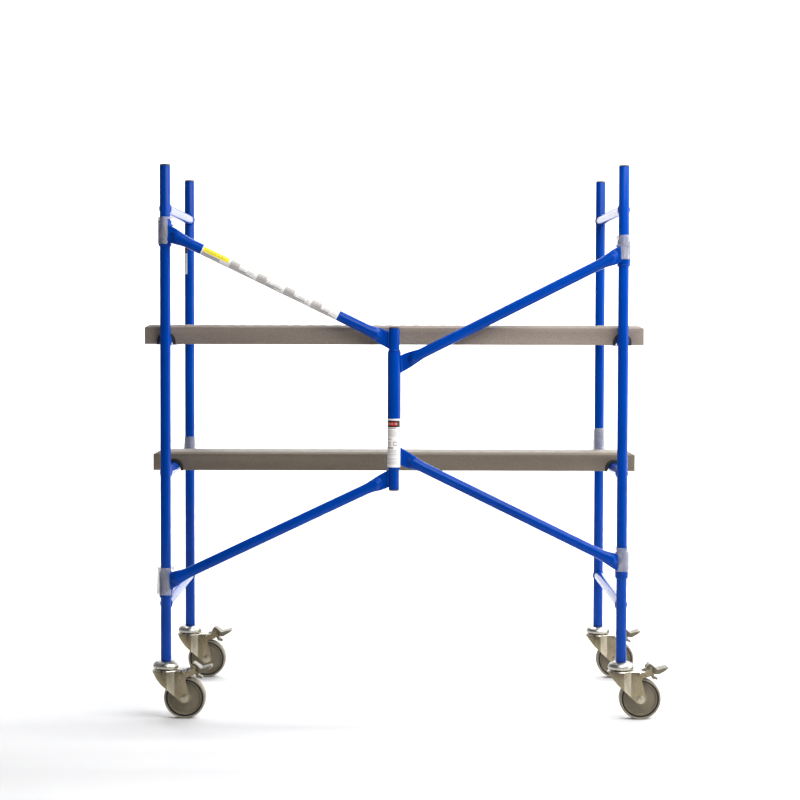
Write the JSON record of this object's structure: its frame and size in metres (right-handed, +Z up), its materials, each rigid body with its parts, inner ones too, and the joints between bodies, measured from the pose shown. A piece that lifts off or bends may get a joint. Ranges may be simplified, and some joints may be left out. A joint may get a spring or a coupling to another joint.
{
  "type": "baker scaffold",
  "caption": "Small folding rolling scaffold: two ladder end frames on locking swivel casters, a folding brace gate and two hook-on planks.",
  "frame": {"origin": "bottom centre of the bounding box, on the floor", "axes": "+Z up; +X from the left end frame to the right one; +Y from the gate side to the open rear side"},
  "size_m": [1.2662, 0.626, 1.3359],
  "materials": {
    "blue_paint": "glossy blue powder coat",
    "deck_grey": "satin warm grey coat on pressed steel",
    "black_plastic": "matt black moulded plastic",
    "black_liner": "matt black moulded rubber",
    "zinc": "zinc-plated pressed steel",
    "bolt_steel": "zinc-plated bolt",
    "tread": "grey non-marking rubber",
    "wheel_core": "brown-grey moulded plastic"
  },
  "bodies": {
    "left_end_frame": {"left_front_post": "blue_paint", "left_rear_post": "blue_paint", "left_rung_1": "blue_paint", "left_rung_2": "blue_paint", "left_rung_3": "blue_paint", "left_rung_4": "blue_paint", "left_front_post_cap": "black_plastic", "left_rear_post_cap": "black_plastic", "left_front_caster_stem": "zinc", "left_rear_caster_stem": "zinc"},
    "right_end_frame": {"right_front_post": "blue_paint", "right_rear_post": "blue_paint", "right_rung_1": "blue_paint", "right_rung_2": "blue_paint", "right_rung_3": "blue_paint", "right_rung_4": "blue_paint", "right_front_post_cap": "black_plastic", "right_rear_post_cap": "black_plastic", "right_front_caster_stem": "zinc", "right_rear_caster_stem": "zinc"},
    "left_gate": {"gate_left_upper_brace": "blue_paint", "gate_left_lower_brace": "blue_paint", "gate_left_upper_sleeve": "blue_paint", "gate_left_lower_sleeve": "blue_paint", "gate_pivot_tube": "blue_paint", "gate_pivot_top_cap": "black_plastic", "gate_pivot_bottom_cap": "black_plastic"},
    "right_gate": {"gate_right_upper_brace": "blue_paint", "gate_right_lower_brace": "blue_paint", "gate_right_upper_sleeve": "blue_paint", "gate_right_lower_sleeve": "blue_paint", "gate_pivot_sleeve": "blue_paint"},
    "upper_plank": {"upper_plank_deck": "deck_grey", "upper_plank_left_saddle": "black_liner", "upper_plank_right_saddle": "black_liner"},
    "lower_plank": {"lower_plank_deck": "deck_grey", "lower_plank_left_saddle": "black_liner", "lower_plank_right_saddle": "black_liner"},
    "left_front_fork": {"left_front_caster_fork": "zinc", "left_front_axle_bolt": "bolt_steel"},
    "left_front_wheel": {"left_front_wheel_tread": "tread", "left_front_wheel_core": "wheel_core"},
    "left_front_pedal": {"left_front_brake_pedal": "zinc"},
    "left_rear_fork": {"left_rear_caster_fork": "zinc", "left_rear_axle_bolt": "bolt_steel"},
    "left_rear_wheel": {"left_rear_wheel_tread": "tread", "left_rear_wheel_core": "wheel_core"},
    "left_rear_pedal": {"left_rear_brake_pedal": "zinc"},
    "right_front_fork": {"right_front_caster_fork": "zinc", "right_front_axle_bolt": "bolt_steel"},
    "right_front_wheel": {"right_front_wheel_tread": "tread", "right_front_wheel_core": "wheel_core"},
    "right_front_pedal": {"right_front_brake_pedal": "zinc"},
    "right_rear_fork": {"right_rear_caster_fork": "zinc", "right_rear_axle_bolt": "bolt_steel"},
    "right_rear_wheel": {"right_rear_wheel_tread": "tread", "right_rear_wheel_core": "wheel_core"},
    "right_rear_pedal": {"right_rear_brake_pedal": "zinc"}
  },
  "joints": [
    {"name": "gate_fold", "type": "hinge", "parent": "left_end_frame", "child": "left_gate", "pos_m": [-0.58055, -0.28, 0.7], "axis": [0, 0, -1], "range_deg": [0, 81]},
    {"name": "gate_centre_fold", "type": "hinge", "parent": "left_gate", "child": "right_gate", "pos_m": [-0.03005, -0.28, 0.75], "axis": [0, 0, 1], "range_deg": [0, 162]},
    {"name": "right_frame_fold", "type": "hinge", "parent": "right_gate", "child": "right_end_frame", "pos_m": [0.52045, -0.28, 0.7], "axis": [0, 0, -1], "range_deg": [0, 81]},
    {"name": "upper_plank_lift", "type": "slide", "parent": "left_end_frame", "child": "upper_plank", "axis": [0, 0, 1], "range_m": [0, 0.2546]},
    {"name": "lower_plank_lift", "type": "slide", "parent": "left_end_frame", "child": "lower_plank", "axis": [0, 0, 1], "range_m": [0, 0.2546]},
    {"name": "left_front_swivel", "type": "hinge", "parent": "left_end_frame", "child": "left_front_fork", "pos_m": [-0.58055, -0.28, 0.119], "axis": [0, 0, 1], "continuous": true},
    {"name": "left_front_wheel_spin", "type": "hinge", "parent": "left_front_fork", "child": "left_front_wheel", "pos_m": [-0.53455, -0.28, 0.05037], "axis": [0, 1, 0], "continuous": true},
    {"name": "left_front_brake", "type": "hinge", "parent": "left_front_fork", "child": "left_front_pedal", "pos_m": [-0.51455, -0.28, 0.125], "axis": [0, 1, 0], "range_deg": [0, 18]},
    {"name": "left_rear_swivel", "type": "hinge", "parent": "left_end_frame", "child": "left_rear_fork", "pos_m": [-0.58055, 0.28, 0.119], "axis": [0, 0, 1], "continuous": true},
    {"name": "left_rear_wheel_spin", "type": "hinge", "parent": "left_rear_fork", "child": "left_rear_wheel", "pos_m": [-0.53455, 0.28, 0.05037], "axis": [0, 1, 0], "continuous": true},
    {"name": "left_rear_brake", "type": "hinge", "parent": "left_rear_fork", "child": "left_rear_pedal", "pos_m": [-0.51455, 0.28, 0.125], "axis": [0, 1, 0], "range_deg": [0, 18]},
    {"name": "right_front_swivel", "type": "hinge", "parent": "right_end_frame", "child": "right_front_fork", "pos_m": [0.52045, -0.28, 0.119], "axis": [0, 0, 1], "continuous": true},
    {"name": "right_front_wheel_spin", "type": "hinge", "parent": "right_front_fork", "child": "right_front_wheel", "pos_m": [0.56645, -0.28, 0.05037], "axis": [0, 1, 0], "continuous": true},
    {"name": "right_front_brake", "type": "hinge", "parent": "right_front_fork", "child": "right_front_pedal", "pos_m": [0.58645, -0.28, 0.125], "axis": [0, 1, 0], "range_deg": [0, 18]},
    {"name": "right_rear_swivel", "type": "hinge", "parent": "right_end_frame", "child": "right_rear_fork", "pos_m": [0.52045, 0.28, 0.119], "axis": [0, 0, 1], "continuous": true},
    {"name": "right_rear_wheel_spin", "type": "hinge", "parent": "right_rear_fork", "child": "right_rear_wheel", "pos_m": [0.56645, 0.28, 0.05037], "axis": [0, 1, 0], "continuous": true},
    {"name": "right_rear_brake", "type": "hinge", "parent": "right_rear_fork", "child": "right_rear_pedal", "pos_m": [0.58645, 0.28, 0.125], "axis": [0, 1, 0], "range_deg": [0, 18]}
  ],
  "couplings": [
    {"joint": "gate_centre_fold", "follows": "gate_fold", "ratio": 2},
    {"joint": "right_frame_fold", "follows": "gate_fold", "ratio": 1},
    {"joint": "upper_plank_lift", "follows": "gate_fold", "m_per_rad": 0.18},
    {"joint": "lower_plank_lift", "follows": "gate_fold", "m_per_rad": 0.18}
  ]
}
